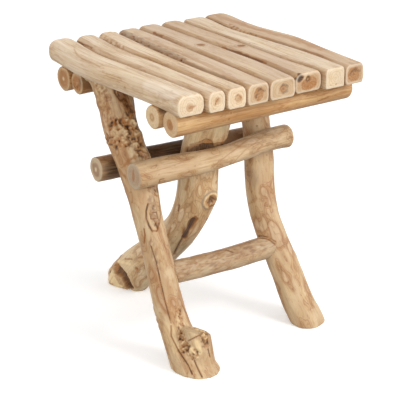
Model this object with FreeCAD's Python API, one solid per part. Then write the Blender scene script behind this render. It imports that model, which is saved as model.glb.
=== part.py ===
# Rustic side table made of debarked teak branches.
# Planed branch slats lie across two battens and two rails. Three bent legs cross like an X
# under the top and are locked by a bar on each side of the crossing and one low stretcher.
# Frame: X along the battens, Y along the slats from front to back, Z up, floor at Z = 0.
import FreeCAD, Part
import math
import os

from FreeCAD import Vector

os.makedirs("parts", exist_ok=True)

# Top, sizes in millimetres: round branches planed flat above and below, eased at their ends
table_height = 500.0
slat_thickness = 36.0
slat_length = 414.0
slat_gap = 1.2
slat_top_planing = 2.0
slat_bottom_planing = 5.0
slat_front_ease = 4.0
slat_back_ease = 9.0
slat_front_swell = 0.95
slat_back_swell = 0.91
slat_spans = 8
slat_points = 16
top_left = -192.0

# Each slat from left to right: mean width, extra length, shift of its middle to the back, and
# how square it is, from 2 for an oval to 6 for a box with round corners
slat_rows = [
    (50.0, 0.0, 7.0, 2.7),
    (48.0, 2.0, 1.0, 2.7),
    (38.0, 2.0, -2.0, 3.0),
    (50.0, 0.0, -4.0, 3.6),
    (55.0, 3.0, -2.5, 3.4),
    (49.0, -4.0, -1.0, 3.0),
    (47.0, -1.0, -7.5, 6.0),
    (56.0, 1.0, -6.5, 3.6),
]

# Sideways sway of the seams on both sides of the slats, at shares of the length from the front
sway_shares = (0.0, 0.20, 0.45, 0.70, 1.0)
seam_sways = [
    (7.0, 11.0, 1.0, -12.0, -3.0),
    (14.0, 6.0, -2.0, -10.0, 2.0),
    (2.0, 1.0, -1.0, -8.0, 0.0),
    (4.0, -2.0, -5.0, -1.0, 4.0),
    (0.0, 2.0, 2.0, 3.0, -1.0),
    (1.0, 6.0, 2.0, -2.0, -8.0),
    (12.0, 1.0, 1.0, -3.0, -7.0),
    (9.0, 11.0, 1.0, -11.0, -5.0),
    (-4.0, -2.0, 8.0, -11.0, -7.0),
]

# Rails that carry the leg tops and battens beside them: left and right ends, seat planed on top
rail_spacing = 233.0
rail_shift = -4.5
rail_diameter = 41.0
batten_diameter = 45.0
round_seat = 2.0
batten_gap = 0.6
front_batten_ends = (-175.0, 196.0)
rear_batten_ends = (-195.0, 186.0)
front_rail_ends = (-182.0, 178.0)
rear_rail_ends = (-192.0, 180.0)

# Faint taper of these round pieces: share of the length, share of the diameter
round_taper = ((0.0, 1.0), (0.3, 0.98), (0.7, 0.99), (1.0, 0.97))

# Legs: foot in plan, top along the rail, depth of the saddle that fits the rail
left_foot = (-150.0, -203.0)
right_foot = (119.0, -167.0)
rear_foot = (-57.0, 152.0)
left_top = -154.0
right_top = 148.0
rear_top = -22.0
leg_saddle = 8.0
front_leg_top_lean = 30.0
rear_foot_heel = 41.0
rear_foot_corner = 50.0
rear_corner_turn = 56.0

# Leg rows: share of the rail height, bend to the right, bend to the back, width, depth
left_leg_rows = [
    (1.16, -1.0, -12.0, 60.0, 54.0),
    (1.00, 1.0, 0.0, 63.0, 58.0),
    (0.88, 1.0, 3.0, 63.0, 59.0),
    (0.78, -3.0, -4.0, 62.0, 59.0),
    (0.70, -2.0, -9.0, 62.0, 57.0),
    (0.58, -4.0, -6.0, 54.0, 52.0),
    (0.42, -5.0, 2.0, 51.0, 50.0),
    (0.27, -6.0, 15.0, 53.0, 51.0),
    (0.14, -7.0, 18.0, 57.0, 54.0),
    (0.06, -5.0, 13.0, 66.0, 62.0),
    (-0.06, 6.0, -6.0, 84.0, 66.0),
]
right_leg_rows = [
    (1.16, 10.0, 12.0, 50.0, 48.0),
    (1.00, 0.0, 0.0, 52.0, 50.0),
    (0.88, -12.0, -11.0, 52.0, 50.0),
    (0.76, -19.0, -14.0, 54.0, 50.0),
    (0.66, -21.0, -5.0, 57.0, 50.0),
    (0.54, -22.0, 11.0, 57.0, 51.0),
    (0.41, -20.5, 23.0, 55.0, 52.0),
    (0.29, -16.0, 17.0, 55.0, 53.0),
    (0.15, -8.0, 8.0, 60.0, 53.0),
    (0.06, -1.0, 4.0, 63.0, 52.0),
    (-0.06, 6.0, 0.0, 67.0, 49.0),
]
rear_leg_upper_rows = [
    (1.16, 0.0, 4.0, 60.0, 60.0),
    (1.00, 0.0, 0.0, 64.0, 62.0),
    (0.84, 2.0, -3.0, 75.0, 66.0),
]
rear_leg_lower_rows = [
    (0.62, 4.0, -17.0, 76.0, 68.0),
    (0.55, 7.0, -33.0, 76.0, 67.0),
    (0.46, 8.0, -43.0, 72.0, 65.0),
    (0.37, 8.0, -41.0, 68.0, 65.0),
    (0.26, 4.0, -29.0, 66.0, 67.0),
    (0.16, -1.0, -10.0, 64.0, 75.0),
    (0.07, -4.0, 9.0, 65.0, 83.0),
    (-0.07, -8.0, 34.0, 66.0, 84.0),
]
rail_row = 1
rear_leg_crossing_width = 74.0

# Cut stub of a side branch on the left foot: root and end from the foot, and their diameters
stub_root = (9.0, -5.0, 6.0)
stub_end = (6.0, 8.0, 69.0)
stub_root_diameter = 48.0
stub_end_diameter = 45.0
stub_cut_slope = 20.0
stub_shares = (0.0, 0.6, 1.3)

# Bars in front and behind, above and below the place where the leg lines meet, and the low
# stretcher, sizes from left to right
front_bar_diameters = (46.0, 47.0, 39.0, 42.0, 43.0)
rear_bar_diameters = (44.0, 45.0, 45.0, 44.0, 44.0)
front_bar_rise = 9.2
rear_bar_drop = 9.8
front_bar_tilt = -2.0
rear_bar_tilt = -8.0
front_bar_ends = (-192.0, 156.0)
rear_bar_ends = (-206.0, 138.0)
front_bar_bow = -16.0
rear_bar_bow = -2.0
rear_bar_left_rise = 2.0
bar_saddle = 2.0
bar_let_in = 2.5
notch_rise = 8.0
notch_clearance = 1.0
stretcher_diameters = (42.0, 41.0, 42.0, 44.0)
stretcher_left_height = 145.0
stretcher_right_height = 128.0
stretcher_sag = 4.0

# Natural outline of a branch: faint lobes that turn along it
branch_points = 10
oval = 2.0
lobe_count = 3
lobe_depth = 0.025
lobe_turn = 1.3

# Fasteners: countersunk wood screws and blind dowels
screw_diameter = 5.0
screw_head_diameter = 9.0
screw_head_height = 3.0
screw_tip = 5.0
screw_bite = 22.0
screw_sink = 3.0
dowel_diameter = 10.0
dowel_length = 44.0
fastener_room = 3.0

# Heights and places that follow from these sizes
underside = table_height - slat_thickness
rail_height = underside - rail_diameter / 2 + round_seat
batten_height = underside - batten_diameter / 2 + round_seat
front_rail_y = rail_shift - rail_spacing / 2
rear_rail_y = rail_shift + rail_spacing / 2
batten_offset = (rail_diameter + batten_diameter) / 2 + batten_gap
front_batten_y = front_rail_y - batten_offset
rear_batten_y = rear_rail_y + batten_offset
reach = 2 * (table_height + slat_length)


def interpolate(pairs, place):
    # Value at a place on a line of (place, value) pairs with rising places
    for (start, first), (end, last) in zip(pairs, pairs[1:]):
        if place <= end:
            break
    return first + (last - first) * ((place - start) / (end - start))


def squared(share, squareness):
    # Share of a circle's radius, moved out towards the corner of a box
    return math.copysign(abs(share) ** (oval / squareness), share)


def outline(center, side, along, width, depth, count, squareness, lobe, phase):
    # Closed curve through a count of points square to a branch, with its width along the side
    across = side - along * side.dot(along)
    across.normalize()
    upright = along.cross(across)
    points = []
    for step in range(count):
        angle = 2 * math.pi * step / count
        radius_share = (1 + lobe * math.cos(lobe_count * angle + phase)) / 2
        right = width * radius_share * squared(math.cos(angle), squareness)
        rise = depth * radius_share * squared(math.sin(angle), squareness)
        points.append(center + across * right + upright * rise)
    curve = Part.BSplineCurve()
    curve.interpolate(Points=points, PeriodicFlag=True)
    return Part.Wire(curve.toShape())


def branch(stations, side):
    # Loft through outlines square to the path of (center, width, depth) stations
    outlines = []
    for index, (center, width, depth) in enumerate(stations):
        before = stations[max(index - 1, 0)][0]
        after = stations[min(index + 1, len(stations) - 1)][0]
        along = after - before
        along.normalize()
        phase = index * lobe_turn
        curve = outline(center, side, along, width, depth, branch_points, oval, lobe_depth, phase)
        outlines.append(curve)
    return Part.makeLoft(outlines, True)


def block(corner, height):
    # Wide slab, centred in X, from its lowest front corner in Y and Z
    return Part.makeBox(reach, reach, height, Vector(-reach / 2, corner.y, corner.z))


def between_heights(bottom, top):
    return block(Vector(0, -reach / 2, bottom), top - bottom)


def seam(index, y):
    # Place in X of the seam left of a slat
    mean = top_left + sum(row[0] for row in slat_rows[:index])
    share = y / slat_length + 0.5
    return mean + interpolate(list(zip(sway_shares, seam_sways[index])), share)


def slat_middle(index, y):
    return (seam(index, y) + seam(index + 1, y)) / 2


def slat_outline(index, y, swell):
    # Outline square to the length of the top, so that neighbours share their seam
    round_height = slat_thickness + slat_top_planing + slat_bottom_planing
    center = Vector(slat_middle(index, y), y, table_height + slat_top_planing - round_height / 2)
    width = swell * (seam(index + 1, y) - seam(index, y) - slat_gap)
    depth = swell * round_height
    across = Vector(1, 0, 0)
    along = Vector(0, 1, 0)
    return outline(center, across, along, width, depth, slat_points, slat_rows[index][3], 0, 0)


def make_slat(index):
    # Smooth branch between two eased ends, planed above and below
    extra, shift = slat_rows[index][1:3]
    front = shift - (slat_length + extra) / 2
    back = shift + (slat_length + extra) / 2
    body_front = front + slat_front_ease
    body_back = back - slat_back_ease
    spacing = (body_back - body_front) / slat_spans
    body = [slat_outline(index, body_front + step * spacing, 1.0) for step in range(slat_spans + 1)]
    front_end = [slat_outline(index, front, slat_front_swell), body[0]]
    back_end = [body[-1], slat_outline(index, back, slat_back_swell)]
    slat = Part.makeLoft(body, True).fuse([Part.makeLoft(front_end, True), Part.makeLoft(back_end, True)])
    return slat.common(between_heights(underside, table_height))


def make_round(ends, y, height, diameter):
    # Straight round piece under the slats, with a seat planed on its upper side
    left, right = ends
    stations = []
    for share, taper in round_taper:
        place = Vector(left + share * (right - left), y, height)
        stations.append((place, diameter * taper, diameter * taper))
    return branch(stations, Vector(0, 1, 0)).common(between_heights(0, underside))


def leaning_top(x, rail_y, depth, lean, face):
    # Axis point of a leg at rail height, before the rail with face -1 and behind it with face 1
    distance = (rail_diameter + depth) / 2 - leg_saddle
    return Vector(x, rail_y + face * distance / math.cos(math.radians(lean)), rail_height)


def leg_stations(anchors, rows):
    # Rows bend away from the straight lines between the anchors
    line = [(point.z, point) for point in anchors]
    stations = []
    for share, right, back, width, depth in rows:
        point = interpolate(line, share * rail_height) + Vector(right, back, 0)
        stations.append((point, width, depth))
    return stations


def leg_axis(stations, height):
    # Axis point, depth and lean from the vertical of a leg at a height
    rising = sorted(stations, key=lambda station: station[0].z)
    line = [(place.z, place) for place, width, depth in rising]
    point = interpolate(line, height)
    depth = interpolate([(place.z, depth) for place, width, depth in rising], height)
    step = interpolate(line, height + 1) - point
    return point, depth, math.atan(step.y)


def bar_center(stations, height, diameter, face):
    # A bar lies in front of a leg with face -1 and behind it with face 1
    point, depth, lean = leg_axis(stations, height)
    distance = (diameter + depth) / 2 - bar_saddle
    return Vector(point.x, point.y + face * distance / math.cos(lean), height)


def bar_stations(ends, height, tilt, diameters, bow, left_rise, face):
    # Bar across both front legs, bowed where it passes the rear leg between them
    at_left = bar_center(left_stations, height, diameters[1], face)
    at_right = bar_center(right_stations, height + tilt, diameters[3], face)
    middle = (at_left + at_right) / 2 + Vector(0, bow, 0)
    left_end = Vector(ends[0], at_left.y, at_left.z + left_rise)
    right_end = Vector(ends[1], at_right.y, at_right.z)
    places = (left_end, at_left, middle, at_right, right_end)
    return [(place, diameter, diameter) for place, diameter in zip(places, diameters)]


def make_stub(foot):
    root = foot + Vector(*stub_root)
    end = foot + Vector(*stub_end)
    stations = []
    for share in stub_shares:
        place = root + (end - root) * share
        diameter = stub_root_diameter + (stub_end_diameter - stub_root_diameter) * share
        stations.append((place, diameter, diameter))
    cut_off = block(Vector(0, -reach / 2, 0), reach)
    cut_off.rotate(Vector(0, 0, 0), Vector(0, 1, 0), stub_cut_slope)
    cut_off.translate(end)
    return branch(stations, Vector(1, 0, 0)).cut(cut_off)


def make_screw(head, length):
    # Countersunk screw that points up from the middle of its head
    radius = screw_diameter / 2
    profile = [
        Vector(0, 0, 0),
        Vector(screw_head_diameter / 2, 0, 0),
        Vector(radius, 0, screw_head_height),
        Vector(radius, 0, length - screw_tip),
        Vector(0, 0, length),
        Vector(0, 0, 0),
    ]
    face = Part.Face(Part.makePolygon(profile))
    screw = face.revolve(Vector(0, 0, 0), Vector(0, 0, 1), 360)
    screw.translate(head)
    return screw


def screw_row(y, height, diameter, dowel_places):
    # Screws sunk into the underside of a round piece, one for each slat that no dowel is near,
    # and the wells that their heads pass
    bottom = height - diameter / 2
    apart = (dowel_diameter + screw_head_diameter) / 2 + fastener_room
    screws = []
    wells = []
    for index in range(len(slat_rows)):
        x = slat_middle(index, y)
        if any(abs(x - place) < apart for place in dowel_places):
            continue
        head = Vector(x, y, bottom + screw_sink)
        screws.append(make_screw(head, underside - head.z + screw_bite))
        low = Vector(x, y, bottom - screw_sink)
        wells.append(Part.makeCylinder(screw_head_diameter / 2, 2 * screw_sink, low))
    return screws, wells


def make_dowel(start, end, contact):
    # Blind dowel on the line between two axes, with its middle at the contact from the start
    along = end - start
    along.normalize()
    bottom = start + along * (contact - dowel_length / 2)
    return Part.makeCylinder(dowel_diameter / 2, dowel_length, bottom, along)


def top_dowel(leg_top, rail_y):
    rail_point = Vector(leg_top.x, rail_y, leg_top.z)
    return make_dowel(rail_point, leg_top, rail_diameter / 2)


def bar_dowels(bar):
    # One dowel where the bar crosses each leg
    dowels = []
    for (place, diameter, depth), leg in zip(bar[1:-1], (left_stations, rear_stations, right_stations)):
        dowels.append(make_dowel(place, leg_axis(leg, place.z)[0], diameter / 2))
    return dowels


# Paths of the front legs, which lean on the rear rail, and top of the rear leg on the front rail
left_top_depth = left_leg_rows[rail_row][-1]
left_top_point = leaning_top(left_top, rear_rail_y, left_top_depth, front_leg_top_lean, -1)
left_stations = leg_stations([Vector(*left_foot, 0), left_top_point], left_leg_rows)
right_top_depth = right_leg_rows[rail_row][-1]
right_top_point = leaning_top(right_top, rear_rail_y, right_top_depth, front_leg_top_lean, -1)
right_stations = leg_stations([Vector(*right_foot, 0), right_top_point], right_leg_rows)
rear_top_depth = rear_leg_upper_rows[rail_row][-1]
rear_top_point = leaning_top(rear_top, front_rail_y, rear_top_depth, 0.0, 1)

# Height where the straight lines of the left leg and the rear leg meet, seen from the side
floor_spread = rear_foot[1] - left_foot[1]
rail_spread = left_top_point.y - rear_top_point.y
meeting_height = rail_height * floor_spread / (floor_spread + rail_spread)
front_bar_height = meeting_height + front_bar_rise
rear_bar_height = meeting_height - rear_bar_drop

# Paths of the bars in both V's of the crossing, and of the rear leg that passes between them
front_bar_line = bar_stations(
    front_bar_ends, front_bar_height, front_bar_tilt, front_bar_diameters, front_bar_bow, 0.0, -1
)
rear_bar_line = bar_stations(
    rear_bar_ends, rear_bar_height, rear_bar_tilt, rear_bar_diameters, rear_bar_bow, rear_bar_left_rise, 1
)
front_bar_middle = front_bar_line[2][0]
rear_bar_middle = rear_bar_line[2][0]
front_face = front_bar_middle.y + front_bar_diameters[2] / 2
rear_face = rear_bar_middle.y - rear_bar_diameters[2] / 2
crossing_y = (front_face + rear_face) / 2
crossing_height = (front_bar_middle.z + rear_bar_middle.z) / 2
crossing_depth = rear_face - front_face + 2 * bar_let_in
crossing_row = (crossing_height / rail_height, 0.0, 0.0, rear_leg_crossing_width, crossing_depth)
rear_anchors = [Vector(*rear_foot, 0), Vector(rear_top, crossing_y, crossing_height), rear_top_point]
rear_stations = leg_stations(rear_anchors, rear_leg_upper_rows + [crossing_row] + rear_leg_lower_rows)

# Whole pieces before their fasteners
slats = [make_slat(index) for index in range(len(slat_rows))]
front_batten = make_round(front_batten_ends, front_batten_y, batten_height, batten_diameter)
rear_batten = make_round(rear_batten_ends, rear_batten_y, batten_height, batten_diameter)
front_rail = make_round(front_rail_ends, front_rail_y, rail_height, rail_diameter)
rear_rail = make_round(rear_rail_ends, rear_rail_y, rail_height, rail_diameter)
front_bar = branch(front_bar_line, Vector(0, 1, 0))
rear_bar = branch(rear_bar_line, Vector(0, 1, 0))

# Legs cut level at the floor and under the slats, saddled to the rail and the bars
standing = between_heights(0, underside)
left_leg = branch(left_stations, Vector(1, 0, 0)).fuse(make_stub(Vector(*left_foot, 0)))
left_leg = left_leg.common(standing).cut([rear_rail, front_bar, rear_bar])
right_leg = branch(right_stations, Vector(1, 0, 0)).common(standing).cut([rear_rail, front_bar, rear_bar])

# The rear leg also has a notch above the front bar, and a sawn heel with one corner taken off
notch_top = front_bar_diameters[2] / 2 + notch_rise
notch = block(Vector(0, front_face - notch_clearance - reach, front_bar_middle.z), notch_top)
heel = block(Vector(0, rear_foot[1] + rear_foot_heel, 0), reach)
corner = block(Vector(0, rear_foot_corner, 0), reach)
corner.rotate(Vector(0, 0, 0), Vector(0, 0, 1), rear_corner_turn)
corner.translate(Vector(*rear_foot, 0))
rear_leg = branch(rear_stations, Vector(1, 0, 0)).common(standing)
rear_leg = rear_leg.cut([front_rail, front_bar, rear_bar, notch, heel, corner])

# Stretcher with its ends coped to the front legs
stretcher_left, left_depth, left_lean = leg_axis(left_stations, stretcher_left_height)
stretcher_right, right_depth, right_lean = leg_axis(right_stations, stretcher_right_height)
stretcher_line = []
for step, diameter in enumerate(stretcher_diameters):
    share = step / (len(stretcher_diameters) - 1)
    sag = Vector(0, 0, -stretcher_sag * math.sin(math.pi * share))
    place = stretcher_left + (stretcher_right - stretcher_left) * share + sag
    stretcher_line.append((place, diameter, diameter))
stretcher = branch(stretcher_line, Vector(0, 1, 0)).cut([left_leg, right_leg])

# Screws up into the slats, and dowels between the round pieces
front_screws, front_wells = screw_row(front_batten_y, batten_height, batten_diameter, [])
rear_screws, rear_wells = screw_row(rear_batten_y, batten_height, batten_diameter, [])
front_rail_screws, front_rail_wells = screw_row(front_rail_y, rail_height, rail_diameter, [rear_top])
rear_rail_screws, rear_rail_wells = screw_row(
    rear_rail_y, rail_height, rail_diameter, [left_top, right_top]
)
slat_screws = front_screws + rear_screws
rail_screws = front_rail_screws + rear_rail_screws
left_top_dowel = top_dowel(left_top_point, rear_rail_y)
right_top_dowel = top_dowel(right_top_point, rear_rail_y)
rear_top_dowel = top_dowel(rear_top_point, front_rail_y)
front_bar_dowels = bar_dowels(front_bar_line)
rear_bar_dowels = bar_dowels(rear_bar_line)
left_end_dowel = make_dowel(stretcher_left, stretcher_right, left_depth / 2)
right_end_dowel = make_dowel(stretcher_right, stretcher_left, right_depth / 2)

# Holes for them
slats = [slat.cut(slat_screws + rail_screws) for slat in slats]
front_batten = front_batten.cut(front_screws + front_wells)
rear_batten = rear_batten.cut(rear_screws + rear_wells)
front_rail = front_rail.cut(front_rail_screws + front_rail_wells + [rear_top_dowel])
rear_rail = rear_rail.cut(rear_rail_screws + rear_rail_wells + [left_top_dowel, right_top_dowel])
left_leg = left_leg.cut([left_top_dowel, front_bar_dowels[0], rear_bar_dowels[0], left_end_dowel])
rear_leg = rear_leg.cut([rear_top_dowel, front_bar_dowels[1], rear_bar_dowels[1]])
right_leg = right_leg.cut([right_top_dowel, front_bar_dowels[2], rear_bar_dowels[2], right_end_dowel])
front_bar = front_bar.cut(front_bar_dowels)
rear_bar = rear_bar.cut(rear_bar_dowels)
stretcher = stretcher.cut([left_end_dowel, right_end_dowel])

nodes = {
    "front_batten": front_batten,
    "rear_batten": rear_batten,
    "front_leg_rail": front_rail,
    "rear_leg_rail": rear_rail,
    "front_left_leg": left_leg,
    "front_right_leg": right_leg,
    "rear_leg": rear_leg,
    "front_cross_bar": front_bar,
    "rear_cross_bar": rear_bar,
    "lower_stretcher": stretcher,
    "slat_screws": Part.makeCompound(slat_screws),
    "rail_screws": Part.makeCompound(rail_screws),
    "leg_top_dowels": Part.makeCompound([left_top_dowel, right_top_dowel, rear_top_dowel]),
    "cross_bar_dowels": Part.makeCompound(front_bar_dowels + rear_bar_dowels),
    "stretcher_dowels": Part.makeCompound([left_end_dowel, right_end_dowel]),
}
for number, slat in enumerate(slats, 1):
    nodes["slat_%d" % number] = slat

# The origin is on the floor, under the middle of the whole table
box = Part.makeCompound(list(nodes.values())).optimalBoundingBox(False, False)
for name, shape in nodes.items():
    shape.translate(Vector(-box.Center.x, -box.Center.y, 0))
    shape.exportStep("parts/" + name + ".step")
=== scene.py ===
import math
import random

import bmesh
import bpy
import numpy as np
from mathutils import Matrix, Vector, noise
from mathutils.bvhtree import BVHTree
from mathutils.kdtree import KDTree


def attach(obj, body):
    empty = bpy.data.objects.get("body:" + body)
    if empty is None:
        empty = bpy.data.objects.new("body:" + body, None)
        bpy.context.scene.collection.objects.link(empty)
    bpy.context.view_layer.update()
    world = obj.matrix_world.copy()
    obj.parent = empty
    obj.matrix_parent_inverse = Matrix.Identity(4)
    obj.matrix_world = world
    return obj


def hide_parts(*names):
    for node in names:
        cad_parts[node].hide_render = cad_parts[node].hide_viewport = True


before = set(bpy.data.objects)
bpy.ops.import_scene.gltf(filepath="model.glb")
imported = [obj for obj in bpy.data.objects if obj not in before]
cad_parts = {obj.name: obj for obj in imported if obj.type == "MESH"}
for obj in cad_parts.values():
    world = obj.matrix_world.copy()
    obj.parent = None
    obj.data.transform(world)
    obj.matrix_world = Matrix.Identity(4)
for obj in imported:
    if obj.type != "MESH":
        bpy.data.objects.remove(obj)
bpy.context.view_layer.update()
scene = bpy.context.scene
mm = 0.001
seedShift = 17.3  # noise waves between one seed and the next
grainShift = 1.37  # the same along the grain, in metres
print("frame:", len(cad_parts), "nodes")

# Photograph's own camera, in millimetres and in pixels of its 400 x 400 frame
shot = {
    "place": (-1403.2, -2037.4, 1221.7),
    "target": (-89.6, -110.7, 277.6),
    "lens": 130.5,
    "sensor": 36.0,
    "pixels": 400,
}
eye = Vector(shot["place"]) * mm
eyeTurn = (Vector(shot["target"]) * mm - eye).to_track_quat("-Z", "Y")
pixelSize = shot["sensor"] / shot["lens"] / shot["pixels"]  # at a distance of one


def pixelRay(pixel):
    middle = shot["pixels"] / 2
    return eyeTurn @ Vector(((pixel[0] - middle) * pixelSize, (middle - pixel[1]) * pixelSize, -1))


def linear(hexColour):
    # sRGB hex value to the linear colour that shaders take
    channels = [int(hexColour[place:place + 2], 16) / 255 for place in (0, 2, 4)]
    return [c / 12.92 if c <= 0.04045 else ((c + 0.055) / 1.055) ** 2.4 for c in channels] + [1.0]


def addNode(tree, kind, settings, links):
    # Small letters name a property, capitals or numbers a socket, stops fill a colour ramp
    node = tree.nodes.new(kind)
    for name, value in settings.items():
        if name == "stops":
            for place, colour in value:
                stop = node.color_ramp.elements.new(place)
                stop.color = linear(colour) if isinstance(colour, str) else (colour, colour, colour, 1)
            node.color_ramp.elements.remove(node.color_ramp.elements[0])
            node.color_ramp.elements.remove(node.color_ramp.elements[-1])
        elif isinstance(name, str) and name[0].islower():
            setattr(node, name, value)
        else:
            node.inputs[name].default_value = value
    for name, source in links.items():
        tree.links.new(source, node.inputs[name])
    return next(socket for socket in node.outputs if socket.enabled)


def ease(low, high, values):
    # Smooth step from 0 at low to 1 at high
    share = np.clip((values - low) / (high - low), 0, 1)
    return share * share * (3 - 2 * share)


def noiseAt(places, sizes, seed):
    # Smooth noise from -1 to 1 with waves of these sizes in millimetres
    scaled = places / (np.array(sizes) * mm) + seed * seedShift
    return np.array([noise.noise(Vector(place)) for place in scaled])


def lineDistance(points, line):
    # Distance in millimetres from each point to a line of points
    best = np.full(len(points), np.inf)
    for start, end in zip(line, line[1:] or line):
        along = end - start
        share = np.clip((points - start) @ along / max(along @ along, 1e-12), 0, 1)
        best = np.minimum(best, np.linalg.norm(points - start - share[:, None] * along, axis=1))
    return best / mm


def remeshedCopy(node, voxel, mergeDistance=0.01 * mm, sweeps=2):
    # Merged copy of a CAD node, remeshed to even quads fine enough to carry grain and knots
    shape = bmesh.new()
    shape.from_mesh(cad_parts[node].data)
    bmesh.ops.remove_doubles(shape, verts=shape.verts, dist=mergeDistance)
    rough = bpy.data.meshes.new(node + "_copy")
    shape.to_mesh(rough)
    shape.free()
    piece = bpy.data.objects.new(node + "_wood", rough)
    scene.collection.objects.link(piece)
    remesh = piece.modifiers.new("even quads", "REMESH")
    remesh.mode = "VOXEL"
    remesh.voxel_size = voxel * mm
    even = bpy.data.meshes.new_from_object(piece.evaluated_get(bpy.context.evaluated_depsgraph_get()))
    piece.modifiers.clear()
    piece.data = even
    bpy.data.meshes.remove(rough)
    shape = bmesh.new()
    shape.from_mesh(even)
    axes = {"use_axis_x": True, "use_axis_y": True, "use_axis_z": True}
    for sweep in range(sweeps):
        bmesh.ops.smooth_vert(shape, verts=shape.verts, factor=0.5, **axes)
    shape.to_mesh(even)
    shape.free()
    even.materials.clear()
    even.name = node + "_wood"
    return piece


def meshArrays(mesh):
    points = np.empty(len(mesh.vertices) * 3, np.float32)
    normals = np.empty(len(mesh.vertices) * 3, np.float32)
    mesh.vertices.foreach_get("co", points)
    mesh.vertices.foreach_get("normal", normals)
    return points.reshape(-1, 3).astype(float), normals.reshape(-1, 3).astype(float)


def grainPlaces(points, axis, slices):
    # Place of each point in the branch: two distances from the pith, and one along it
    along = points[:, axis]
    edges = np.linspace(along.min(), along.max(), slices + 1)
    inside = np.clip(np.digitize(along, edges) - 1, 0, slices - 1)
    pith = np.array([points[inside == step].mean(axis=0) for step in range(slices)])
    for sweep in range(2):
        padded = np.vstack([2 * pith[0] - pith[1], pith, 2 * pith[-1] - pith[-2]])
        pith = padded[:-2] / 4 + padded[1:-1] / 2 + padded[2:] / 4
    middles = pith[:, axis]
    lengths = np.concatenate([[0], np.cumsum(np.linalg.norm(np.diff(pith, axis=0), axis=1))])
    tangents = np.gradient(pith, lengths, axis=0)
    clear = np.clip(along, middles[0], middles[-1])
    center = np.stack([np.interp(clear, middles, pith[:, k]) for k in range(3)], axis=1)
    tangent = np.stack([np.interp(clear, middles, tangents[:, k]) for k in range(3)], axis=1)
    tangent /= np.linalg.norm(tangent, axis=1)[:, None]
    side = np.zeros(3)
    side[1 if axis == 0 else 0] = 1
    across = side - tangent * (tangent @ side)[:, None]
    across /= np.linalg.norm(across, axis=1)[:, None]
    upright = np.cross(tangent, across)
    offset = points - center
    run = np.interp(clear, middles, lengths) + np.sum(offset * tangent, axis=1)
    places = np.stack([np.sum(offset * across, axis=1), np.sum(offset * upright, axis=1), run], axis=1)
    return places, tangent


def surfaceLine(tree, pixels, pixelStep=2):
    # Line of the photograph laid on the surface that carries it
    line = []
    for start, end in zip(pixels, pixels[1:] or pixels):
        steps = max(1, int(math.dist(start, end) / pixelStep))
        for step in range(steps + 1):
            pixel = [a + (b - a) * step / steps for a, b in zip(start, end)]
            hit = tree.ray_cast(eye, pixelRay(pixel))[0]
            if hit is not None:
                line.append(np.array(hit))
    return line


def trailLine(tree, start, direction, length, dice, bend=0.12, stride=4):
    # Line that wanders over the surface from a point, in strides of so many millimetres
    line = [np.array(start)]
    heading = Vector(direction).normalized()
    for step in range(max(2, int(length / stride))):
        heading = (heading + Vector([dice.uniform(-bend, bend) for axis in range(3)])).normalized()
        spot = tree.find_nearest(Vector(line[-1]) + heading * stride * mm)[0]
        line.append(np.array(spot))
    return line


tones = ("brown", "grey", "dark", "pale")


def addStainAndPaintedShading(stainAndPaintedShading, tone, values):
    # A pale mark hides the brown and grey below it, and a brown or grey one hides the pale
    place = tones.index(tone)
    for other in {"pale": (0, 1), "brown": (3,), "grey": (3,), "dark": ()}[tone]:
        stainAndPaintedShading[:, other] *= 1 - np.clip(values, 0, 1)
    stainAndPaintedShading[:, place] = np.maximum(stainAndPaintedShading[:, place], values)


# What a mark has where its row says nothing: depths and heights in millimetres, tones from 0 to 1
usualMarks = {
    "knot": {"rings": 5.0, "rise": 0.6, "sink": 1.0, "brown": 0.6, "dark": 0.4, "reach": 0.6,
             "pale": 0.0, "collar": 0.0},
    "crack": {"depth": 2.0, "dark": 0.8, "brown": 0.7},
    "stainAndPaintedShading": {"strength": 0.7, "soft": 0.9, "ragged": 0.6, "depth": 0.0},
    "rough": {"size": (10, 10, 14), "brown": 0.5, "grey": 0.0, "dark": 0.7, "pale": 0.4},
}


def seen(kind, at, width, **more):
    # A mark of the photograph: the pixels of its line, its half width in millimetres, its own values
    return dict(kind=kind, at=at, width=width, **more)


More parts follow.
